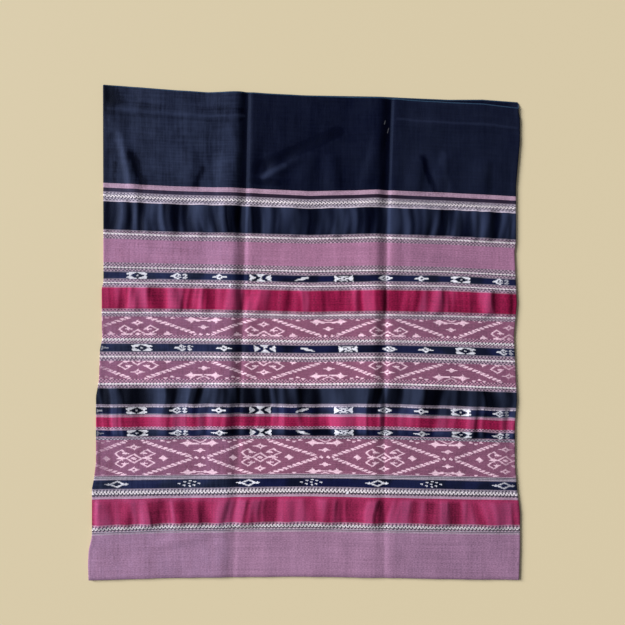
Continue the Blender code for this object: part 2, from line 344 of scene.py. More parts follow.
def crown_lift(across, ups, left, right):
    """The low crown of each third, which the creases and the side folds hold down."""
    lines = [left] + [crease_line(crease, ups) for crease in THIRDS_CREASES] + [right]
    lift = np.zeros_like(across)
    for low, high in zip(lines, lines[1:]):
        inside = (low <= across) & (across <= high)
        lift += inside * CROWN_BETWEEN_CREASES * arch((across - low) / (high - low), CROWN_FULLNESS)
    return lift


def fold_lift(across, ups):
    """The soft ridges and troughs that run anywhere in the front layer."""
    lift = np.zeros_like(across)
    for _, start, end, half_width, height in FOLDS:
        along = (end[0] - start[0], end[1] - start[1])
        length = math.hypot(*along)
        x, y = across - start[0], ups - start[1]
        share = (x * along[0] + y * along[1]) / length**2
        aside = (y * along[0] - x * along[1]) / length
        ends = smooth((share + FOLD_RUN_OUT) / (2.0 * FOLD_RUN_OUT))
        ends *= smooth((1.0 + FOLD_RUN_OUT - share) / (2.0 * FOLD_RUN_OUT))
        lift += height * ends * bump(aside, half_width)
    return lift


def pucker_lift(across, heights):
    """The short ripples of the bands whose yarns were woven tighter."""
    lift = np.zeros_like(across)
    for name, low, high in PUCKERED_BANDS:
        share = (heights - low) / (high - low)
        inside = arch(share, PUCKER_FULLNESS) * ((low < heights) & (heights < high))
        for crest, rise, fall, most, lean in PUCKERS[name]:
            off = across - crest - lean * (share - 0.5)
            lift += most * inside * bump(off, np.where(off < 0.0, rise, fall))
    return lift


def settle_lift(across, ups):
    """The low unevenness of cloth that was folded away."""
    lift = np.zeros_like(across)
    for length_across, length_up, turn, height in SETTLE_WAVES:
        lift += height * np.sin(2.0 * math.pi * (across / length_across + ups / length_up) + turn)
    return lift


def side_hold(across, left, right):
    """0 at the side folds, which hold the front down, and 1 away from them."""
    return smooth((across - left) / SIDE_HOLD) * smooth((right - across) / SIDE_HOLD)


def front_lift(across, ups, heights, left, right):
    """How far the front layer stands above its lowest place."""
    lift = crown_lift(across, ups, left, right) + shoulder_lift(across, ups)
    lift += fold_lift(across, ups) + PUCKER_STRENGTH * pucker_lift(across, heights)
    lift += settle_lift(across, ups)
    return side_hold(across, left, right) * MOST_LIFT * np.tanh(np.maximum(lift, 0.0) / MOST_LIFT)


def third_places():
    """The front's columns as places from 0, at the left fold, to 3, at the right one."""
    places = []
    for third, count in enumerate(THIRD_COLUMNS):
        steps = np.arange(count) / count
        crowded = steps - THIRD_CROWDING * np.sin(2.0 * math.pi * steps) / (2.0 * math.pi)
        places += (third + crowded).tolist()
    return np.array(places + [3.0])


def row_heights():
    """The mesh's rows: close in the puckered bands and wider between them."""
    marks = sorted({0.0, CLOTH_LENGTH}.union(*[band[1:] for band in PUCKERED_BANDS]))
    band_starts = [band[1] for band in PUCKERED_BANDS]
    rows = []
    for low, high in zip(marks, marks[1:]):
        step = BAND_ROW_STEP if low in band_starts else PLAIN_ROW_STEP
        rows += np.linspace(low, high, 1 + math.ceil((high - low) / step)).tolist()[:-1]
    return np.array(rows + [CLOTH_LENGTH]).reshape(-1, 1)


def middle_surface(heights):
    """The cloth's middle surface, row by row, once round the tube from the front's left end.

    It also gives each point's way round the tube, which the yarns' coordinates follow.
    """
    low = CLOTH_THICKNESS / 2.0
    radius = (CLOTH_THICKNESS + SIDE_FOLD_GAP) / 2.0
    inset = low + radius
    flat_ups = heights - MIDDLE_TO_BOTTOM_EDGE
    left = read(LEFT_FOLD, flat_ups) + inset
    right = read(RIGHT_FOLD, flat_ups) - inset
    creases = [crease_line(crease, flat_ups) for crease in THIRDS_CREASES]
    places = third_places()
    lines = np.hstack([left] + creases + [right])
    across = np.array([np.interp(places, range(4), row) for row in lines])
    shares = (across - left) / (right - left)
    ups = page_heights(shares, heights)
    least = CLOTH_THICKNESS + LEAST_GAP
    ends = 1.0 - side_hold(across, left, right)
    front = low + least + ends * (2.0 * radius - least)
    front += front_lift(across, ups, heights, left, right)

    back_shares = np.linspace(1.0, 0.0, BACK_COLUMNS + 1)[None, :] * np.ones_like(heights)
    back_across = left + back_shares * (right - left)
    slipped = smooth(1.0 - (CLOTH_LENGTH - heights) / BACK_SHOWS_DOWN_TO)
    back_ups = page_heights(back_shares, heights) + slipped * read_steps(BACK_SHOWS, back_shares)
    back = np.full_like(back_across, low)

    turn = np.linspace(0.0, math.pi, FOLD_COLUMNS + 2)[1:-1][None, :]
    blend = (1.0 + np.cos(turn)) / 2.0
    out = np.sin(turn) * radius
    fold_heights = low + radius + np.cos(turn) * radius
    right_ups = back_ups[:, :1] + (ups[:, -1:] - back_ups[:, :1]) * blend
    left_ups = back_ups[:, -1:] + (ups[:, :1] - back_ups[:, -1:]) * (1.0 - blend)
    left_heights = low + radius - np.cos(turn) * radius
    rows = np.ones_like(heights)
    x = np.hstack([across, right + out, back_across, left - out])
    y = np.hstack([ups, right_ups, back_ups, left_ups])
    z = np.hstack([front, fold_heights * rows, back, left_heights * rows])
    arc = math.pi * radius
    right_round = right + turn / math.pi * arc
    back_round = right + arc + (right - back_across)
    left_round = right + arc + (right - left) + turn / math.pi * arc
    way_round = np.hstack([across, right_round, back_round, left_round])
    once_round = right + 2.0 * arc + (right - left)
    return np.stack([x, y, z], axis=-1), way_round, once_round


def outward(points):
    """The outward direction at each point of the middle surface."""
    round_step = np.roll(points, -1, axis=1) - np.roll(points, 1, axis=1)
    up_step = np.gradient(points, axis=0)
    normals = np.cross(round_step, up_step)
    return normals / np.linalg.norm(normals, axis=2, keepdims=True)


def cloth_mesh(name):
    """The tube as one closed skin: its outer face, its inner face and a rounded selvage at each end."""
    heights = row_heights()
    points, way_round, once_round = middle_surface(heights)
    normals = outward(points)
    half = CLOTH_THICKNESS / 2.0
    outer = points + normals * half
    inner = points - normals * half
    end_steps = np.stack([points[0] - points[1], points[-1] - points[-2]])
    end_steps /= np.linalg.norm(end_steps, axis=2, keepdims=True)
    rims = np.stack([points[0], points[-1]]) + end_steps * SELVAGE_ROUNDING
    rows, columns = way_round.shape
    skins = np.concatenate([outer, rims[1:], inner[::-1], rims[:1]])
    loops = len(skins)
    verts = skins.reshape(-1, 3) * MM

    ring = np.arange(loops)
    column = np.arange(columns)
    ring_grid, column_grid = [grid.reshape(-1) for grid in np.meshgrid(ring, column, indexing="ij")]
    next_ring = (ring_grid + 1) % loops
    next_column = (column_grid + 1) % columns
    corner_rings = np.stack([ring_grid, ring_grid, next_ring, next_ring], axis=1)
    corner_columns = np.stack([column_grid, next_column, next_column, column_grid], axis=1)
    faces = corner_rings * columns + corner_columns

    mesh = bpy.data.meshes.new(name)
    mesh.from_pydata(verts.tolist(), [], faces.tolist())
    around = np.hstack([way_round, once_round])
    column_ends = np.stack([column_grid, column_grid + 1, column_grid + 1, column_grid], axis=1)
    skin_heights = np.concatenate([heights[:, 0], heights[-1:, 0], heights[::-1, 0], heights[:1, 0]])
    skin_rows = np.concatenate([range(rows), [rows - 1], range(rows - 1, -1, -1), [0]]).astype(int)
    ways = around[skin_rows[corner_rings], column_ends]
    ups = skin_heights[corner_rings]
    add_uv(mesh, "yarns", ways * MM, ups * MM)
    bake_ups = bake_heights(heights[:, 0], rows, ring_grid, corner_rings)
    first, last = around[:, :1], around[:, -1:]
    bake_ways = ((around - first) / (last - first))[skin_rows[corner_rings], column_ends]
    add_uv(mesh, "OFBake", bake_ways, bake_ups)
    mesh.polygons.foreach_set("material_index", (ring_grid >= rows).astype(np.int32))
    mesh.shade_smooth()
    mesh.validate()
    return mesh


# Shares up the bake sheet: the outer face, four strips of the two selvages, and the inner face
BAKE_OUTER_TOP = 0.573
BAKE_SELVAGES = (0.577, 0.582, 0.587, 0.592)
BAKE_SELVAGE_WIDTH = 0.004
BAKE_INNER = (0.6, 0.998)


def bake_heights(heights, rows, ring_grid, corner_rings):
    """Places up the bake sheet: the outer face low, the two selvages in the middle, the inner face high."""
    places = np.empty(corner_rings.shape)
    loops = 2 * rows + 2
    ring_heights = np.concatenate([heights, heights[-1:], heights[::-1], heights[:1]]) / CLOTH_LENGTH
    steps = corner_rings.copy()
    steps[(ring_grid == loops - 1), 2:] = loops
    outer = ring_grid < rows - 1
    inner = (ring_grid > rows) & (ring_grid < 2 * rows)
    places[outer] = ring_heights[corner_rings[outer]] * BAKE_OUTER_TOP
    inner_low, inner_high = BAKE_INNER
    places[inner] = inner_low + (1.0 - ring_heights[corner_rings[inner]]) * (inner_high - inner_low)
    for turn, start in zip((rows - 1, rows, 2 * rows, 2 * rows + 1), BAKE_SELVAGES):
        chosen = ring_grid == turn
        places[chosen] = start + BAKE_SELVAGE_WIDTH * (steps[chosen] - turn)
    return places


def add_uv(mesh, name, across, up):
    layer = mesh.uv_layers.new(name=name)
    layer.data.foreach_set("uv", np.stack([across, up], axis=-1).astype(np.float32).reshape(-1))


def maths(operation):
    """A method of signals that adds this kind of Math node to their net."""
    return lambda self, *others: self.net.math(operation, self, *others)


class Signal:
    """A number or colour that changes over the cloth. Its sums and products are nodes of its net."""

    def __init__(self, net, socket):
        self.net = net
        self.socket = socket

    __add__ = __radd__ = maths("ADD")
    __sub__ = maths("SUBTRACT")
    __mul__ = maths("MULTIPLY")
    __truediv__ = maths("DIVIDE")
    __gt__ = maths("GREATER_THAN")
    __lt__ = maths("LESS_THAN")
    __abs__ = maths("ABSOLUTE")
    frac = maths("FRACT")
    floor = maths("FLOOR")
    power = maths("POWER")
    sine = maths("SINE")
    least = maths("MINIMUM")
    most = maths("MAXIMUM")

    def __rsub__(self, other):
        return self.net.math("SUBTRACT", other, self)

    def fade(self, off_at, on_at, low=0.0, high=1.0):
        """Goes softly from low, at off_at, to high, at on_at."""
        node = self.net.node("MapRange", self, off_at, on_at, low, high, interpolation_type="SMOOTHSTEP")
        return Signal(self.net, node.outputs[0])

    def between(self, low, high):
        """1 between two values and 0 outside them."""
        return (self > low) * (self < high)

    def folded(self, pitch):
        """How far a place is from the middle of its repeat, with one middle at 0."""
        return abs((self / pitch + 0.5).frac() - 0.5) * pitch


class Net:
    """One node tree, with short ways to add nodes to it and to link them."""

    def __init__(self, tree):
        self.tree = tree

    def node(self, kind, *values, **settings):
        """Adds a node with these settings, and feeds its first sockets with the values."""
        made = self.tree.nodes.new("ShaderNode" + kind)
        for name, setting in settings.items():
            setattr(made, name, setting)
        self.feed(made.inputs, values)
        return made

    def feed(self, sockets, values):
        for socket, value in zip(sockets, values):
            self.link(value, socket)

    def link(self, value, socket):
        """Feeds a socket from a signal, or sets its plain value."""
        if isinstance(value, Signal):
            self.tree.links.new(value.socket, socket)
        else:
            socket.default_value = value

    def signals(self, sockets):
        return [Signal(self, socket) for socket in sockets]

    def math(self, operation, *values):
        return Signal(self, self.node("Math", *values, operation=operation).outputs[0])

    def noise(self, name, across, up):
        """Soft noise from 0 to 1 at a place on the cloth, as the table of noises has it."""
        rate_across, rate_up, detail, roughness = NOISES[name]
        place = Signal(self, self.node("CombineXYZ", across * rate_across, up * rate_up).outputs[0])
        node = self.node("TexNoise", place, noise_dimensions="2D")
        node.inputs["Scale"].default_value = 1.0
        node.inputs["Detail"].default_value = detail
        node.inputs["Roughness"].default_value = roughness
        return Signal(self, node.outputs[0])

    def chance(self, number):
        """A random number from 0 to 1 for each different number."""
        node = self.node("TexWhiteNoise", noise_dimensions="1D")
        self.link(number, node.inputs["W"])
        return Signal(self, node.outputs[0])

    def mix(self, share, first, second, blend="MIX"):
        """A colour that goes from first to second."""
        node = self.node("Mix", share, data_type="RGBA", blend_type=blend)
        self.feed(node.inputs[6:8], (first, second))
        return Signal(self, node.outputs[2])

    def take(self):
        """The signals that come into this group."""
        return self.signals(self.tree.nodes.new("NodeGroupInput").outputs[:-1])

    def give(self, *values):
        """Ends the group with its outputs, and returns the group."""
        self.feed(self.tree.nodes.new("NodeGroupOutput").inputs, values)
        return self.tree

    def use(self, group, *values):
        """Places a group here and returns its outputs, or its output where it has only one."""
        made = self.signals(self.node("Group", *values, node_tree=group).outputs)
        return made if len(made) > 1 else made[0]


def new_group(name, takes, gives):
    """An empty shader node group, with the names of its inputs and of its outputs."""
    group = bpy.data.node_groups.new(name, "ShaderNodeTree")
    for labels, in_out in ((takes, "INPUT"), (gives, "OUTPUT")):
        for label in labels:
            kind = "NodeSocketColor" if label == "Colour" else "NodeSocketFloat"
            group.interface.new_socket(label, in_out=in_out, socket_type=kind)
    return Net(group)


def total(signals):
    """The sum of some signals."""
    first, *others = signals
    return sum(others, first)


# Noises of the cloth
NOISES = {
    # waves in a millimetre across and along the cloth, detail, roughness
    "rope drift": (0.02, 0.05, 2.0, 0.5),
    "float wear": (0.7, 0.6, 1.0, 0.5),
    "creeping dye": (0.03, 0.4, 2.0, 0.5),
    "second dips": (0.022, 0.02, 1.0, 0.5),
    "fold wander": (0.05, 0.05, 1.0, 0.5),
    "pucker lean": (0.009, 0.009, 1.0, 0.5),
    "fine puckers": (0.05, 0.006, 1.0, 0.5),
    "warp streaks": (0.007, 0.62, 1.0, 0.5),
    "weft streaks": (0.32, 0.016, 1.0, 0.5),
    "grain": (0.36, 0.8, 1.0, 0.5),
    "blotches": (0.018, 0.024, 2.0, 0.5),
    # Mottles of the painted sheen, which also give the left third its painted mottle
    "sheen patches": (0.03, 0.02, 3.0, 0.65),
    "sheen weft": (0.3, 0.02, 2.0, 0.5),
    "sheen warp": (0.02, 0.35, 2.0, 0.5),
    "worn relief": (0.09, 0.06, 2.0, 0.5),
    "fibres": (0.6, 0.6, 1.0, 0.5),
}


def yarn_rows(plan):
    """The warp plan as rows of (bottom height, top height, yarn colour, pick code), from the top edge down.

    A picked stripe becomes several rows: in a chain the code climbs, and in a speckle it alternates.
    """
    rows = []
    top = CLOTH_LENGTH
    for yarn, width, *picked in plan:
        pick = picked[0] if picked else "plain"
        if pick == "plain":
            codes = [PLAIN_CODE]
        elif pick == "line":
            codes = [LINE_CODE]
        elif pick == "chain":
            codes = np.linspace(*CHAIN_CODES, max(2, round(width / CHAIN_ROW)))
        else:
            codes = [SPECKLE_CODES[row % 2] for row in range(max(1, round(width / SPECKLE_ROW)))]
        for row, code in enumerate(codes):
            bottom = top - width * (row + 1) / len(codes)
            rows.append((bottom, top - width * row / len(codes), YARNS[yarn], code))
        top -= width
    return rows


def ramp_sections(rows):
    """The rows from the bottom edge up, cut into sections that one colour ramp each can hold."""
    sections = [[]]
    for row in reversed(rows):
        section = sections[-1]
        if section and (len(section) >= MOST_STOPS or row[1] - section[0][0] > LONGEST_RAMP):
            sections.append([])
        sections[-1].append(row)
    return sections


def warp_stripes_group():
    """The colour and the pick code of the warp at a height."""
    net = new_group("warp stripes", ["Height"], ["Colour", "Pick"])
    (height,) = net.take()
    colour = pick = None
    for section in ramp_sections(yarn_rows(WARP_PLAN)):
        low, high = section[0][0], section[-1][1]
        ramp = net.node("ValToRGB", (height - low) / (high - low))
        ramp.color_ramp.interpolation = "CONSTANT"
        stops = ramp.color_ramp.elements
        while len(stops) > 1:
            stops.remove(stops[-1])
        for number, (bottom, _, yarn, code) in enumerate(section):
            place = (bottom - low) / (high - low)
            stop = stops.new(place) if number else stops[0]
            stop.position = place
            stop.color = linear(yarn)[:3] + (code,)
        section_colour, section_pick = net.signals(ramp.outputs)
        if colour is None:
            colour, pick = section_colour, section_pick
            continue
        here = height > low
        colour = net.mix(here, colour, section_colour)
        pick = pick + here * (section_pick - pick)
    return net.give(colour, pick)


def picked_yarns_group():
    """Where the light yarn of a picked stripe lies on top: 1 on its floats and in plain stripes."""
    net = new_group("picked yarns", ["Across", "Height", "Pick"], ["On Top"])
    across, height, pick = net.take()
    place = (across + net.noise("rope drift", across, height) * ROPE_DRIFT) / CHAIN_PITCH
    twist = abs((place + pick).frac() - 0.5)
    swing = abs(place.frac() - 0.5) * (2.0 * SPECKLE_CODES[1])
    chain = abs(pick - sum(SPECKLE_CODES) / 2.0) < CHAIN_CODES_SPAN
    worn = net.noise("float wear", across, height) - 0.5
    speckles = (SPECKLE_REACH + worn * SPECKLE_WEAR - abs(swing - pick)).fade(*SPECKLE_EDGE)
    is_line = pick < (LINE_CODE + CHAIN_CODES[0]) / 2.0
    reach = CHAIN_REACH + worn * CHAIN_WEAR + is_line * LINE_REACH
    on_top = speckles + chain * ((reach - twist).fade(*FLOAT_EDGE) - speckles)
    return net.give(on_top.most(pick > (PLAIN_CODE + SPECKLE_CODES[1]) / 2.0))


# Tied and dyed bands
SHAPE_EDGE = (1.12, 0.9)
HOLE_EDGE = (-0.12, 0.06)
LOZENGE_PITCH = 186.0
LOZENGE_SHAPES = (
    # centre across, centre up, half length, half height, fullness, hole, strength (under 0 cuts away)
    (18.9, 6.9, 11.2, 6.5, 1, 0.76, 1), (10.5, 2.8, 6.8, 4, 1, 0, -1), (14.6, 7.5, 5, 1.5, 1, 0, 1),
    (0, 0, 12.6, 7.3, 1, 0.76, 1), (0.5, 0, 4.2, 2.2, 1, 0, 1), (18, 0, 8, 1.3, 2, 0, 1),
    (0, 16.4, 14, 5.2, 0.55, 0, 1), (0, 16.4, 5, 3.9, 1, 0, 1), (0, 16.4, 2.6, 1.5, 1, 0, -1),
    (41.5, 0, 6.6, 4.5, 0.85, 0, 1), (48, 23.4, 3.8, 1.2, 1.2, 0, 0.9),
    (56.5, 25.4, 3.8, 1.2, 1.2, 0, 0.9), (39.5, 25.4, 3.8, 1.2, 1.2, 0, 0.9),
    (87.7, 0, 3.2, 2.4, 1, 0, 1), (93, 10.8, 10.5, 1.1, 1, 0, 1), (93, 10.8, 5.8, 3.4, 1, 0.3, 1),
    (74.6, 21.6, 11.5, 6, 0.62, 0, 1), (84.8, 20.6, 8, 1.3, 1.5, 0, 1),
    (93, 27.4, 11.5, 5.4, 1.2, 0.7, 0.85),
)
LADDER_FROM = (12, 25)
LADDER_TO = (80, 1.6)
LADDER_HALF_HEIGHT = 2.2
LADDER_SOFTNESS = 0.5
LADDER_RUN_OUT = 3.0
LADDER_TICK = 6.6
RUNG_EDGE = (0.4, 0.28, 0.02)
LADDER_LEAN = 1.5
TIP_LEAN = 4.0

SMALL_PITCH = 60.6
SMALL_MOTIFS = {
    # centre across, centre up, half length, half height, fullness, hole, strength (under 0 cuts away)
    "framed diamond": (
        (0, 0, 15.3, 4.6, 5, 0, 1), (0, 0, 11, 4.6, 1, 0, -1), (16.2, 0, 5, 2.6, 1, 0, -1),
        (0, 0, 2.6, 1.2, 1, 0, 0.75),
    ),
    "feathered diamond": (
        (-1.5, 0, 8.5, 5, 1, 0.55, 1), (4.5, 0, 3.2, 1.7, 1, 0, -1), (-9, 0, 5, 1.4, 1, 0, 1),
        (9.8, 2.1, 4.2, 2.1, 1, 0.3, 0.9), (-1.2, 0, 2.4, 1.3, 1, 0, 0.8),
    ),
    "long star": (
        (0, 0, 13.4, 4.9, 0.55, 0, 1), (8, 0, 5.2, 1.1, 1, 0, 1), (0, 0, 6.4, 4.6, 1, 0, 1),
        (0, 0, 2.8, 1.5, 1, 0, -1),
    ),
    "hourglass box": (
        (15.3, 0, 8.6, 5, 1, 0, 1), (20.8, 0, 5, 9, 5, 0, -1), (0, 5.4, 7, 5.4, 1, 0, 0.95),
    ),
    "slanted drift": (
        (0, 0, 10.5, 2.3, 1, 0, 0.85), (7, 0, 4.5, 1.6, 1, 0, 0.7),
    ),
    "butterfly box": (
        (13.4, 0, 8.6, 4.8, 1, 0, 1), (18.9, 0, 5, 9, 5, 0, -1), (0, 0, 6.6, 3.9, 1, 0.4, 0.9),
        (4.4, 3.4, 4.4, 0.9, 1, 0, 0.7),
    ),
    "hatched diamond": (
        (0, 0, 11.6, 4.6, 1, 0.56, 1), (0, 4.6, 2.6, 1.6, 1, 0, -1), (0, 0, 3.4, 1.4, 1, 0, 0.8),
    ),
}
SMALL_ORDER = (
    "hourglass box", "slanted drift", "butterfly box", "hatched diamond",
    "long star", "framed diamond", "feathered diamond", "long star",
)
SMALL_PLACES = range(-4, 7)
SMALL_ROOM_MIDDLE = 2.0
SMALL_ROOM = (18.2, 17.6)
ONE_SIDED = ("feathered diamond",)
SMALL_SHIFTS = {"slanted drift": 2.2, "butterfly box": 3.6, "hatched diamond": 5.6}
DRIFT_SLANT = 0.24
SMALL_BANDS = (
    # centre height, shift across, upright (1) or turned over (-1)
    (446.3, -65, 1), (340.5, -58.5, -1), (249.6, -65.5, 1), (216.4, -65, -1),
)
SMALL_BAND_HALF = 5.5

EYE_PITCH = 193.5
EYE_SHIFT = -83.0
DOT_PITCH = 181.5
DOT_SHIFT = 11.5
EYE_BAND_CENTRE = 142.0
EYE_BAND_HALF = 6.2
EYE_SHAPES = (
    (0, 0, 12.5, 5.2, 1, 0.64, 1), (13, 0, 5.2, 1.6, 1, 0, 1),
)
DOT_SHAPES = (
    (0, 0, 2.2, 1.1, 1.2, 0, 0.9), (0, 3.9, 2.2, 1.1, 1.2, 0, 0.9), (7.3, 2.5, 2.3, 1.2, 1.2, 0, 0.9),
    (14.6, 0, 2.3, 1.1, 1.2, 0, 0.9),
)

# Tied bands of the dusty rose ground
LOZENGE_BANDS = (
    # height of the lozenges' middle, lower edge, upper edge, shift across
    (179.6, 155.1, 206.9, -65.5), (322, 295.3, 321.7, -60), (360.3, 359.2, 385.4, -60),
)
PATTERN_MIDDLE = 15.0
PATTERN_HALF_WIDTH = 300.0
PATTERN_SLIP = 4.5
MOTIF_ON_ROSE = (255, 216, 236)
MOTIF_ON_NAVY = (240, 240, 252)
TIED_YARN = 1.2
YARN_SLIP = 2.0
CREPT = (0.25, 0.6, 0.72)
DIPPED = (0.42, 0.6)
DIPS_START = 350.0
DIP_STRENGTH = 0.8
SECOND_DIP = (3, 3, 14)
FAINT_LEFT = (-303.0, -276.0, 0.3)
FAINT_RIGHT = (312.0, 290.0, 0.45)
SNAG_LEAN = 0.25
SNAG_EDGE = 0.4
SNAG_SIDE_EDGE = 0.2
SNAGS = (
    # a pulled yarn: across, height, half length, half height, strength
    (-110.5, 434, 0.7, 2.6, 1), (65, 126.5, 1.6, 1.6, 0.9), (121, 683, 0.6, 3.2, 0.16),
    (126, 671, 0.5, 4.2, 0.14),
)


def dyed_shape_group():
    """One undyed shape: 1 inside it, 0 outside, and soft where the dye crept under the tie.

    It is where (x / half length)^fullness + (y / half height)^fullness is under 1, so a fullness of 1 makes
    a diamond, under 1 a star with drawn-in sides, and over 2 a box.
    """
    takes = ["Across", "Up", "Centre Across", "Centre Up", "Half Length", "Half Height", "Fullness", "Hole"]
    net = new_group("dyed shape", takes, ["Undyed"])
    across, up, centre_across, centre_up, half_length, half_height, fullness, hole = net.take()
    off_across = abs(across - centre_across) / half_length
    off_up = abs(up - centre_up) / half_height
    reach = off_across.power(fullness) + off_up.power(fullness)
    return net.give(reach.fade(*SHAPE_EDGE) * (reach - hole).fade(*HOLE_EDGE))


def place_shapes(net, shape, across, up, rows):
    """The union of a table's shapes, with those of a strength under 0 cut away in their turn."""
    undyed = None
    for *sizes, hole, strength in rows:
        mask = net.use(shape, across, up, *sizes, hole if hole > 0.0 else -1.0)
        if strength < 0.0:
            undyed = undyed * (1.0 - mask)
        else:
            mask = mask * strength if strength < 1.0 else mask
            undyed = mask if undyed is None else undyed.most(mask)
    return undyed


def lozenge_group(shape):
    """One row of big lozenges, from their middle upwards, with hooks, stars and ladder borders."""
    net = new_group("tied lozenges", ["Across", "Up"], ["Undyed"])
    across, up = net.take()
    turns = across / LOZENGE_PITCH
    towards_tip = 0.5 - (turns * (2.0 * math.pi) + math.pi / 2.0).sine() * 0.5
    turns = turns - towards_tip * (TIP_LEAN / LOZENGE_PITCH)
    across = abs((turns + 0.5).frac() - 0.5) * LOZENGE_PITCH
    up = abs(up)
    (from_across, from_up), (to_across, to_up) = LADDER_FROM, LADDER_TO
    slope = (to_up - from_up) / (to_across - from_across)
    ladder_up = up - (across - from_across) * slope - from_up
    rung = ((across - ladder_up * LADDER_LEAN) / LADDER_TICK).frac()
    rungs = abs(rung - 0.5).fade(*RUNG_EDGE)
    edge = (LADDER_HALF_HEIGHT + LADDER_SOFTNESS, LADDER_HALF_HEIGHT - LADDER_SOFTNESS)
    ladder = abs(ladder_up).fade(*edge) * rungs
    inside = across.fade(from_across - LADDER_RUN_OUT, from_across)
    inside = inside * across.fade(to_across + LADDER_RUN_OUT, to_across)
    return net.give(place_shapes(net, shape, across, up, LOZENGE_SHAPES).most(ladder * inside))


def small_motifs_group(shape):
    """The row of small motifs that the narrow navy bands repeat."""
    net = new_group("tied small motifs", ["Across", "Up"], ["Undyed"])
    across, up = net.take()
    turns = across / SMALL_PITCH + 0.5
    number = turns.floor()
    local = (turns.frac() - 0.5) * SMALL_PITCH
    undyed = []
    for name, rows in SMALL_MOTIFS.items():
        placed = local - SMALL_SHIFTS.get(name, 0.0)
        slant = DRIFT_SLANT if name == "slanted drift" else 0.0
        sideways = placed if name in ONE_SIDED else abs(placed)
        shapes = place_shapes(net, shape, sideways, abs(up - placed * slant), rows)
        places = [place for place in SMALL_PLACES if SMALL_ORDER[place % len(SMALL_ORDER)] == name]
        undyed.append(shapes * total(abs(number - place) < 0.5 for place in places))
    within = abs(local - SMALL_ROOM_MIDDLE).fade(*SMALL_ROOM)
    return net.give(total(undyed) * within)


def eyes_group(shape):
    """Open diamonds and clusters of dots that take turns in the lowest navy band."""
    net = new_group("tied eyes and dots", ["Across", "Up"], ["Undyed"])
    across, up = net.take()
    up = abs(up)
    eyes = place_shapes(net, shape, (across - EYE_SHIFT).folded(EYE_PITCH), up, EYE_SHAPES)
    dots = place_shapes(net, shape, (across - DOT_SHIFT).folded(DOT_PITCH), up, DOT_SHAPES)
    return net.give(eyes.most(dots))


def tied_bands_group():
    """Where the tied yarns stayed undyed, and whether the place is in a rose or a navy band."""
    net = new_group("tied and dyed bands", ["Across", "Height"], ["Undyed", "On Rose", "Second Dip"])
    shape = dyed_shape_group()
    across, height = net.take()
    yarn = (height / TIED_YARN).floor()
    level = (yarn + 0.5) * TIED_YARN
    from_middle = (across - PATTERN_MIDDLE) / PATTERN_HALF_WIDTH
    slipped = across + from_middle * from_middle * PATTERN_SLIP
    slipped = slipped + (net.chance(yarn) - 0.5) * YARN_SLIP

    in_rose = [height.between(low, high) for _, low, high, _ in LOZENGE_BANDS]
    on_rose = total(in_rose)
    rose_up = total((level - band[0]) * here for band, here in zip(LOZENGE_BANDS, in_rose))
    rose_shift = total(here * band[3] for band, here in zip(LOZENGE_BANDS, in_rose))
    lozenges = net.use(lozenge_group(shape), slipped - rose_shift, rose_up)

    in_small = [abs(height - centre) < SMALL_BAND_HALF for centre, _, _ in SMALL_BANDS]
    on_small = total(in_small)
    small_up = total((level - band[0]) * here * band[2] for band, here in zip(SMALL_BANDS, in_small))
    small_shift = total(here * band[1] for band, here in zip(SMALL_BANDS, in_small))
    small = net.use(small_motifs_group(shape), slipped - small_shift, small_up)

    on_eyes = abs(height - EYE_BAND_CENTRE) < EYE_BAND_HALF
    eyes = net.use(eyes_group(shape), slipped, level - EYE_BAND_CENTRE)
    undyed = lozenges * on_rose + small * on_small + eyes * on_eyes
    for place, level_at, half_length, half_height, strength in SNAGS:
        up = height - level_at
        aside = abs(across - place - up * SNAG_LEAN)
        snag = aside.fade(half_length + SNAG_EDGE, half_length - SNAG_SIDE_EDGE)
        snag = snag * abs(up).fade(half_height + SNAG_EDGE, half_height - SNAG_EDGE)
        undyed = undyed.most(snag * strength)
    crept = net.noise("creeping dye", across, height).fade(*CREPT)
    faint_ends = across.fade(*FAINT_LEFT) * across.fade(*FAINT_RIGHT)
    dipped = net.noise("second dips", slipped, height + DIPS_START).fade(*DIPPED)
    return net.give(undyed * crept * faint_ends, on_rose, (on_small + on_eyes) * dipped * DIP_STRENGTH)


# The uneven dye, and the painted shade and painted light, as shares of lightness
STREAKS = {"warp streaks": 0.36, "weft streaks": 0.22, "grain": 0.8, "blotches": 0.32}
# a mottle of painted light and shade over the left third
LEFT_THIRD_PAINTED_MOTTLE = 0.3
# painted shade over the whole right third
RIGHT_THIRD_PAINTED_SHADE = 0.13
# painted shade in the creases of the folding in three
CREASE_PAINTED_SHADE = 0.22
# painted light on the folds' ridges and painted shade in their hollows
FOLD_PAINTED_LIGHT = 0.35
# painted shade in the hollows of the fine puckers, below this ridge level
HOLLOW_UNDER = 0.6
HOLLOW_PAINTED_SHADE = 0.6
LEAST_LIGHTNESS = 0.15

# Painted sheen: a pale bluish reflected light mixed over the base colour, as shares of its strength
PAINTED_SHEEN_COLOUR = (124, 142, 192)
PAINTED_SHEEN_SHARE = 0.088
SHEEN_MOTTLES = {"sheen patches": 0.45, "sheen weft": 0.3, "sheen warp": 0.25}
SHEEN_MOTTLE_SPAN = (0.3, 0.7)
PAINTED_SHEEN_ALL_OVER = 0.22
LEFT_THIRD_PAINTED_SHEEN = (0.2, 0.75)
# painted sheen over the right third
RIGHT_THIRD_PAINTED_SHEEN = 0.2
# the share of painted sheen that the creases lose
CREASE_LOSES_PAINTED_SHEEN = 0.85
# the painted sheen kept on the crests of the fine puckers, and the painted highlight laid on them
CREST_KEEPS_PAINTED_SHEEN = 0.6
CREST_PAINTED_HIGHLIGHT = 1.15
# painted sheen on the folds' ridges
FOLD_PAINTED_SHEEN = 0.9

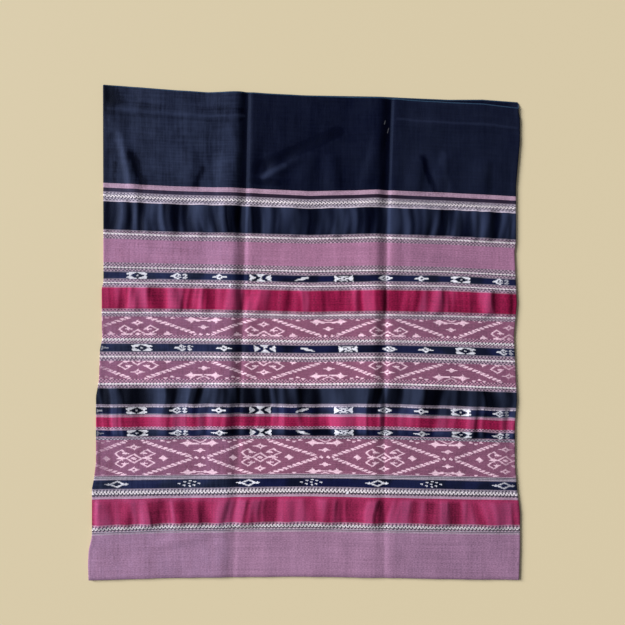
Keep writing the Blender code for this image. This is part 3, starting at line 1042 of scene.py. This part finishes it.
# Reaches of the creases and the outer thirds beside them, and of the fine puckers
CREASE_SHADE = (18.0, 5.6)
CREASE_CORE = (3.0, 0.5)
CREASE_DEPTH = 2.3
LEFT_THIRD = (2.0, -18.0)
RIGHT_THIRD = (-4.0, 30.0)
FRONT_ENDS = (340.0, 330.0)
RIPPLES_RUN_OUT = 9.0
RIPPLES_LEAN = 34.0
RIPPLES_SPAN = (0.28, 0.72)
RIPPLES_DEPTH = 3.4

# The weave: its pitches, and the depths of its yarns' sides, their bows, worn places and fibres
WARP_PITCH = 0.62
WEFT_PITCH = 3.0
WEAVE_DEPTHS = (0.05, 0.04, 0.5, 0.22)
RELIEF_DISTANCE = 0.0006
COTTON_ROUGHNESS = 0.55
COTTON_SHINE = 0.12
COTTON_SHINE_TINT = (0.36, 0.52, 1.0, 1.0)

# Painted light and shade of soft folds in the front, with no relief: painted light and painted sheen on
# ridges (over 0) and painted shade in hollows (under 0); the first darkens the upper left corner with
# painted shade
PAINTED_FOLD_LIGHT_AND_SHADE = (
    # from across, from height, to across, to height, half width, strength
    (-316, 724, -302, 706, 40, -1.7), (-298, 687.5, -92, 685, 3.4, 0.42), (-290, 697, -96, 694, 7, -0.3),
    (-294, 680.5, -96, 679, 4.5, -0.25), (-277, 650, -264, 579, 8, 0.7),
    (-259, 622, -241, 578, 11, -0.85), (-290, 650, -292, 622, 8, -0.4), (-284, 608, -284, 580, 5, -0.6),
    (-151, 606, -162, 578, 9, -0.8), (-126, 612, -122, 578, 16, 0.4), (-73, 609, 50, 668, 12, -0.55),
    (-62, 596, -30, 614, 7, 0.5), (-78, 590, -40, 588, 7, -0.5), (140, 690, 316, 688, 3.6, 0.3),
    (178, 632, 196, 578, 8, -0.4), (208, 640, 216, 578, 9, 0.3),
)
WANDER_ACROSS = 7.0
WANDER_UP = 2.1


def off_creases(across, height):
    """How far a place of the front is to the right of each crease of the folding in three."""
    share = height / CLOTH_LENGTH
    for crease in THIRDS_CREASES:
        steady, turning = crease_bend(crease)
        yield across - share * (share * turning + steady) - crease[2]


def painted_fold_mark_group():
    """One painted fold mark: 1 on its line, and 0 at its half width from it."""
    takes = ["Across", "Height", "From Across", "From Height", "To Across", "To Height", "Half Width"]
    net = new_group("painted fold mark", takes, ["Near"])
    across, height, from_across, from_height, to_across, to_height, half_width = net.take()
    across, height = across - from_across, height - from_height
    along_across, along_height = to_across - from_across, to_height - from_height
    squared = along_across * along_across + along_height * along_height
    share = ((across * along_across + height * along_height) / squared).least(1.0).most(0.0)
    off_across, off_height = across - share * along_across, height - share * along_height
    off = (off_across * off_across + off_height * off_height).power(0.5)
    return net.give((off / half_width).fade(1.0, 0.0))


def painted_fold_light_group():
    """All painted fold light and shade: over 0 for painted light on ridges and under 0 for painted shade in
    hollows.
    """
    net = new_group("painted fold light and shade", ["Across", "Height"], ["Ridge"])
    fold = painted_fold_mark_group()
    across, height = net.take()
    wander = net.noise("fold wander", across, height) - 0.5
    across, height = across + wander * WANDER_ACROSS, height + wander * WANDER_UP
    folds = (net.use(fold, across, height, *sizes) * strength for *sizes, strength in PAINTED_FOLD_LIGHT_AND_SHADE)
    return net.give(total(folds))


def ripples_group():
    """The fine puckers of the tighter bands: 0 in a hollow and 1 on a ridge, and where there are any."""
    net = new_group("fine puckers", ["Across", "Height"], ["Ridge", "Here"])
    across, height = net.take()
    here = total(
        height.fade(low, low + RIPPLES_RUN_OUT) * height.fade(high, high - RIPPLES_RUN_OUT)
        for _, low, high in PUCKERED_BANDS[1:]
    )
    lean = (net.noise("pucker lean", across, height) - 0.5) * RIPPLES_LEAN
    return net.give(net.noise("fine puckers", across + lean, height).fade(*RIPPLES_SPAN), here)


def dye_and_painted_light_group(ripples, painted_folds):
    """Streaks of uneven dye along both yarns and blotches, with painted shade, painted light and painted
    sheen.

    Lightness multiplies a yarn's colour and holds the painted shade and painted light as well as the dye;
    the second output is the share of pale bluish painted sheen mixed on top.
    """
    net = new_group("uneven dye and painted light", ["Across", "Height"], ["Lightness", "Painted Sheen"])
    across, height = net.take()
    left, right = off_creases(across, height)
    left_third = left.fade(*LEFT_THIRD)
    right_third = right.fade(*RIGHT_THIRD) * across.fade(*FRONT_ENDS)
    (reach_left, reach_right), (core_left, core_right) = CREASE_SHADE, CREASE_CORE
    # Where the creases lie, for their painted shade and the painted sheen they lose
    in_crease = total(
        off.fade(-reach_left, -core_left) * off.fade(reach_right, core_right) for off in (left, right)
    )
    in_crease = in_crease * height.fade(*CREASE_FADES)
    ridge, here = net.use(ripples, across, height)
    folds = net.use(painted_folds, across, height)
    sheen_mottle = total(
        net.noise(name, across, height).fade(*SHEEN_MOTTLE_SPAN) * share for name, share in SHEEN_MOTTLES.items()
    )

    lightness = total((net.noise(name, across, height) - 0.5) * share for name, share in STREAKS.items())
    # Painted shade darkens the right third, the creases and the hollows of the fine puckers; the folds add
    # painted light on ridges and painted shade in hollows, and the left third a painted mottle
    lightness = lightness + 1.0 - right_third * RIGHT_THIRD_PAINTED_SHADE - in_crease * CREASE_PAINTED_SHADE
    lightness = lightness - here * (HOLLOW_UNDER - ridge) * HOLLOW_PAINTED_SHADE
    lightness = lightness + folds * FOLD_PAINTED_LIGHT + left_third * (sheen_mottle - 0.5) * LEFT_THIRD_PAINTED_MOTTLE

    # Painted sheen: a pale bluish haze on the outer thirds and mottled all over, kept out of the creases,
    # laid as painted highlights on the pucker crests and on the fold ridges
    crest = ridge * ridge
    least, uneven = LEFT_THIRD_PAINTED_SHEEN
    painted_sheen = left_third * (sheen_mottle * uneven + least) + right_third * RIGHT_THIRD_PAINTED_SHEEN
    painted_sheen = (painted_sheen + sheen_mottle * PAINTED_SHEEN_ALL_OVER) * (1.0 - in_crease * CREASE_LOSES_PAINTED_SHEEN)
    painted_sheen = painted_sheen * (1.0 - here * (1.0 - crest * CREST_KEEPS_PAINTED_SHEEN)) + here * crest * CREST_PAINTED_HIGHLIGHT
    painted_sheen = (painted_sheen + folds * FOLD_PAINTED_SHEEN).most(0.0)
    return net.give(lightness.most(LEAST_LIGHTNESS), painted_sheen * PAINTED_SHEEN_SHARE)


def weave_group(ripples):
    """The height of the weave: warp yarns that bow over the hidden weft, fine puckers and creases."""
    net = new_group("warp-faced weave", ["Across", "Height"], ["Relief"])
    across, height = net.take()
    yarn = height / WARP_PITCH
    side = (yarn * (2.0 * math.pi)).sine() * 0.5 + 0.5
    turned = (yarn.floor() * 0.5).frac() * 2.0 * math.pi
    bow = (across * (2.0 * math.pi / WEFT_PITCH) + turned).sine() * 0.5 + 0.5
    parts = (side, bow, net.noise("worn relief", across, height), net.noise("fibres", across, height))
    relief = total(part * depth for part, depth in zip(parts, WEAVE_DEPTHS))
    ridge, here = net.use(ripples, across, height)
    relief = relief + ridge * here * RIPPLES_DEPTH
    reach_left, reach_right = CREASE_SHADE
    for off in off_creases(across, height):
        sunk = off.fade(-reach_left, 0.0) * off.fade(reach_right, 0.0)
        relief = relief - sunk * height.fade(*CREASE_FADES) * CREASE_DEPTH
    return net.give(relief)


def yarns_at(net):
    """The way round the tube and the height above the bottom edge, in millimetres."""
    place = Signal(net, net.node("UVMap", uv_map="yarns").outputs[0])
    across, height, _ = net.signals(net.node("SeparateXYZ", place).outputs)
    return across / MM, height / MM


def cloth_material(name, stripes, picked, tied, uneven, weave):
    """Cotton from the warp's stripes and picked yarns, the tied bands, the dye with its painted shade and
    painted sheen, and the weave.
    """
    material = bpy.data.materials.new(name)
    material.use_nodes = True
    net = Net(material.node_tree)
    shader = material.node_tree.nodes["Principled BSDF"]
    across, height = yarns_at(net)
    colour, pick = net.use(stripes, height)
    colour = net.mix(net.use(picked, across, height, pick), linear(DARK_YARN), colour)
    undyed, on_rose, second_dip = net.use(tied, across, height)
    colour = net.mix(second_dip, colour, linear(SECOND_DIP))
    motif = net.mix(on_rose, linear(MOTIF_ON_NAVY), linear(MOTIF_ON_ROSE))
    colour = net.mix(undyed, colour, motif)
    lightness, painted_sheen = net.use(uneven, across, height)
    shade = Signal(net, net.node("CombineColor", lightness, lightness, lightness).outputs[0])
    # The lightness, with its painted shade and painted light, multiplies the colour, and the painted sheen
    # is mixed over it
    colour = net.mix(1.0, colour, shade, "MULTIPLY")
    net.link(net.mix(painted_sheen, colour, linear(PAINTED_SHEEN_COLOUR)), shader.inputs["Base Color"])
    relief = net.node("Bump")
    relief.inputs["Strength"].default_value = 1.0
    relief.inputs["Distance"].default_value = RELIEF_DISTANCE
    net.link(net.use(weave, across, height), relief.inputs["Height"])
    net.link(Signal(net, relief.outputs[0]), shader.inputs["Normal"])
    shader.inputs["Roughness"].default_value = COTTON_ROUGHNESS
    shader.inputs["Specular IOR Level"].default_value = COTTON_SHINE
    shader.inputs["Specular Tint"].default_value = COTTON_SHINE_TINT
    return material


def make_cloth(collection):
    cloth = bpy.data.objects.new("woven_tube_cloth", cloth_mesh("woven_tube_cloth"))
    ripples = ripples_group()
    groups = (
        warp_stripes_group(),
        picked_yarns_group(),
        tied_bands_group(),
        dye_and_painted_light_group(ripples, painted_fold_light_group()),
        weave_group(ripples),
    )
    for name in ("warp_faced_cotton", "warp_faced_cotton_inside"):
        cloth.data.materials.append(cloth_material(name, *groups))
    collection.objects.link(cloth)
    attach(cloth, "root")
    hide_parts("tube_cloth")


# The floor, the camera and the light
FLOOR_HALF_SIZE = 6.0
FLOOR_DROP = 0.0005
FLOOR_COLOUR = (0.70, 0.60, 0.40, 1.0)
FLOOR_ROUGHNESS = 0.8
CAMERA_OVER = (12.75, 30.2, 915.5)
CAMERA_LENS = 35.0
CAMERA_SENSOR = 36.0
KEY_FROM_OVERHEAD = 60.0
KEY_TURN = 25.0
KEY_PLACE = (-2.0, 0.8, 1.5)
KEY_STRENGTH = 5.0
KEY_SOFTNESS = 30.0
KEY_COLOUR = (1.0, 0.99, 0.97)
FILL_STRENGTH = 0.20
FILL_COLOUR = (0.93, 0.96, 1.0, 1.0)


def make_floor(collection):
    mesh = bpy.data.meshes.new("floor")
    grid = bmesh.new()
    bmesh.ops.create_grid(grid, x_segments=1, y_segments=1, size=FLOOR_HALF_SIZE)
    grid.to_mesh(mesh)
    grid.free()
    floor = bpy.data.objects.new("floor", mesh)
    floor.location.z = -FLOOR_DROP
    material = bpy.data.materials.new("pale_floor")
    material.use_nodes = True
    shader = material.node_tree.nodes["Principled BSDF"]
    shader.inputs["Base Color"].default_value = FLOOR_COLOUR
    shader.inputs["Roughness"].default_value = FLOOR_ROUGHNESS
    mesh.materials.append(material)
    collection.objects.link(floor)


def make_camera(collection):
    camera = bpy.data.objects.new("camera", bpy.data.cameras.new("camera"))
    camera.data.lens = CAMERA_LENS
    camera.data.sensor_width = CAMERA_SENSOR
    camera.location = [value * MM for value in CAMERA_OVER]
    collection.objects.link(camera)
    bpy.context.scene.camera = camera


def make_lights(collection):
    """A soft key light from the left, low enough to show the folds, and an even pale fill."""
    lamp = bpy.data.lights.new("soft key", "SUN")
    lamp.energy = KEY_STRENGTH
    lamp.angle = math.radians(KEY_SOFTNESS)
    lamp.color = KEY_COLOUR
    light = bpy.data.objects.new("soft key", lamp)
    light.rotation_euler = (0.0, -math.radians(KEY_FROM_OVERHEAD), -math.radians(KEY_TURN))
    light.location = KEY_PLACE
    collection.objects.link(light)
    world = bpy.data.worlds.new("soft studio")
    world.use_nodes = True
    sky = world.node_tree.nodes["Background"]
    sky.inputs["Color"].default_value = FILL_COLOUR
    sky.inputs["Strength"].default_value = FILL_STRENGTH
    world.cycles_visibility.glossy = False
    bpy.context.scene.world = world
    bpy.context.scene.view_settings.view_transform = "Standard"


def main():
    collection = bpy.data.collections.new("handwoven_tube_cloth_looks")
    bpy.context.scene.collection.children.link(collection)
    make_camera(collection)
    make_cloth(collection)
    make_floor(collection)
    make_lights(collection)


main()
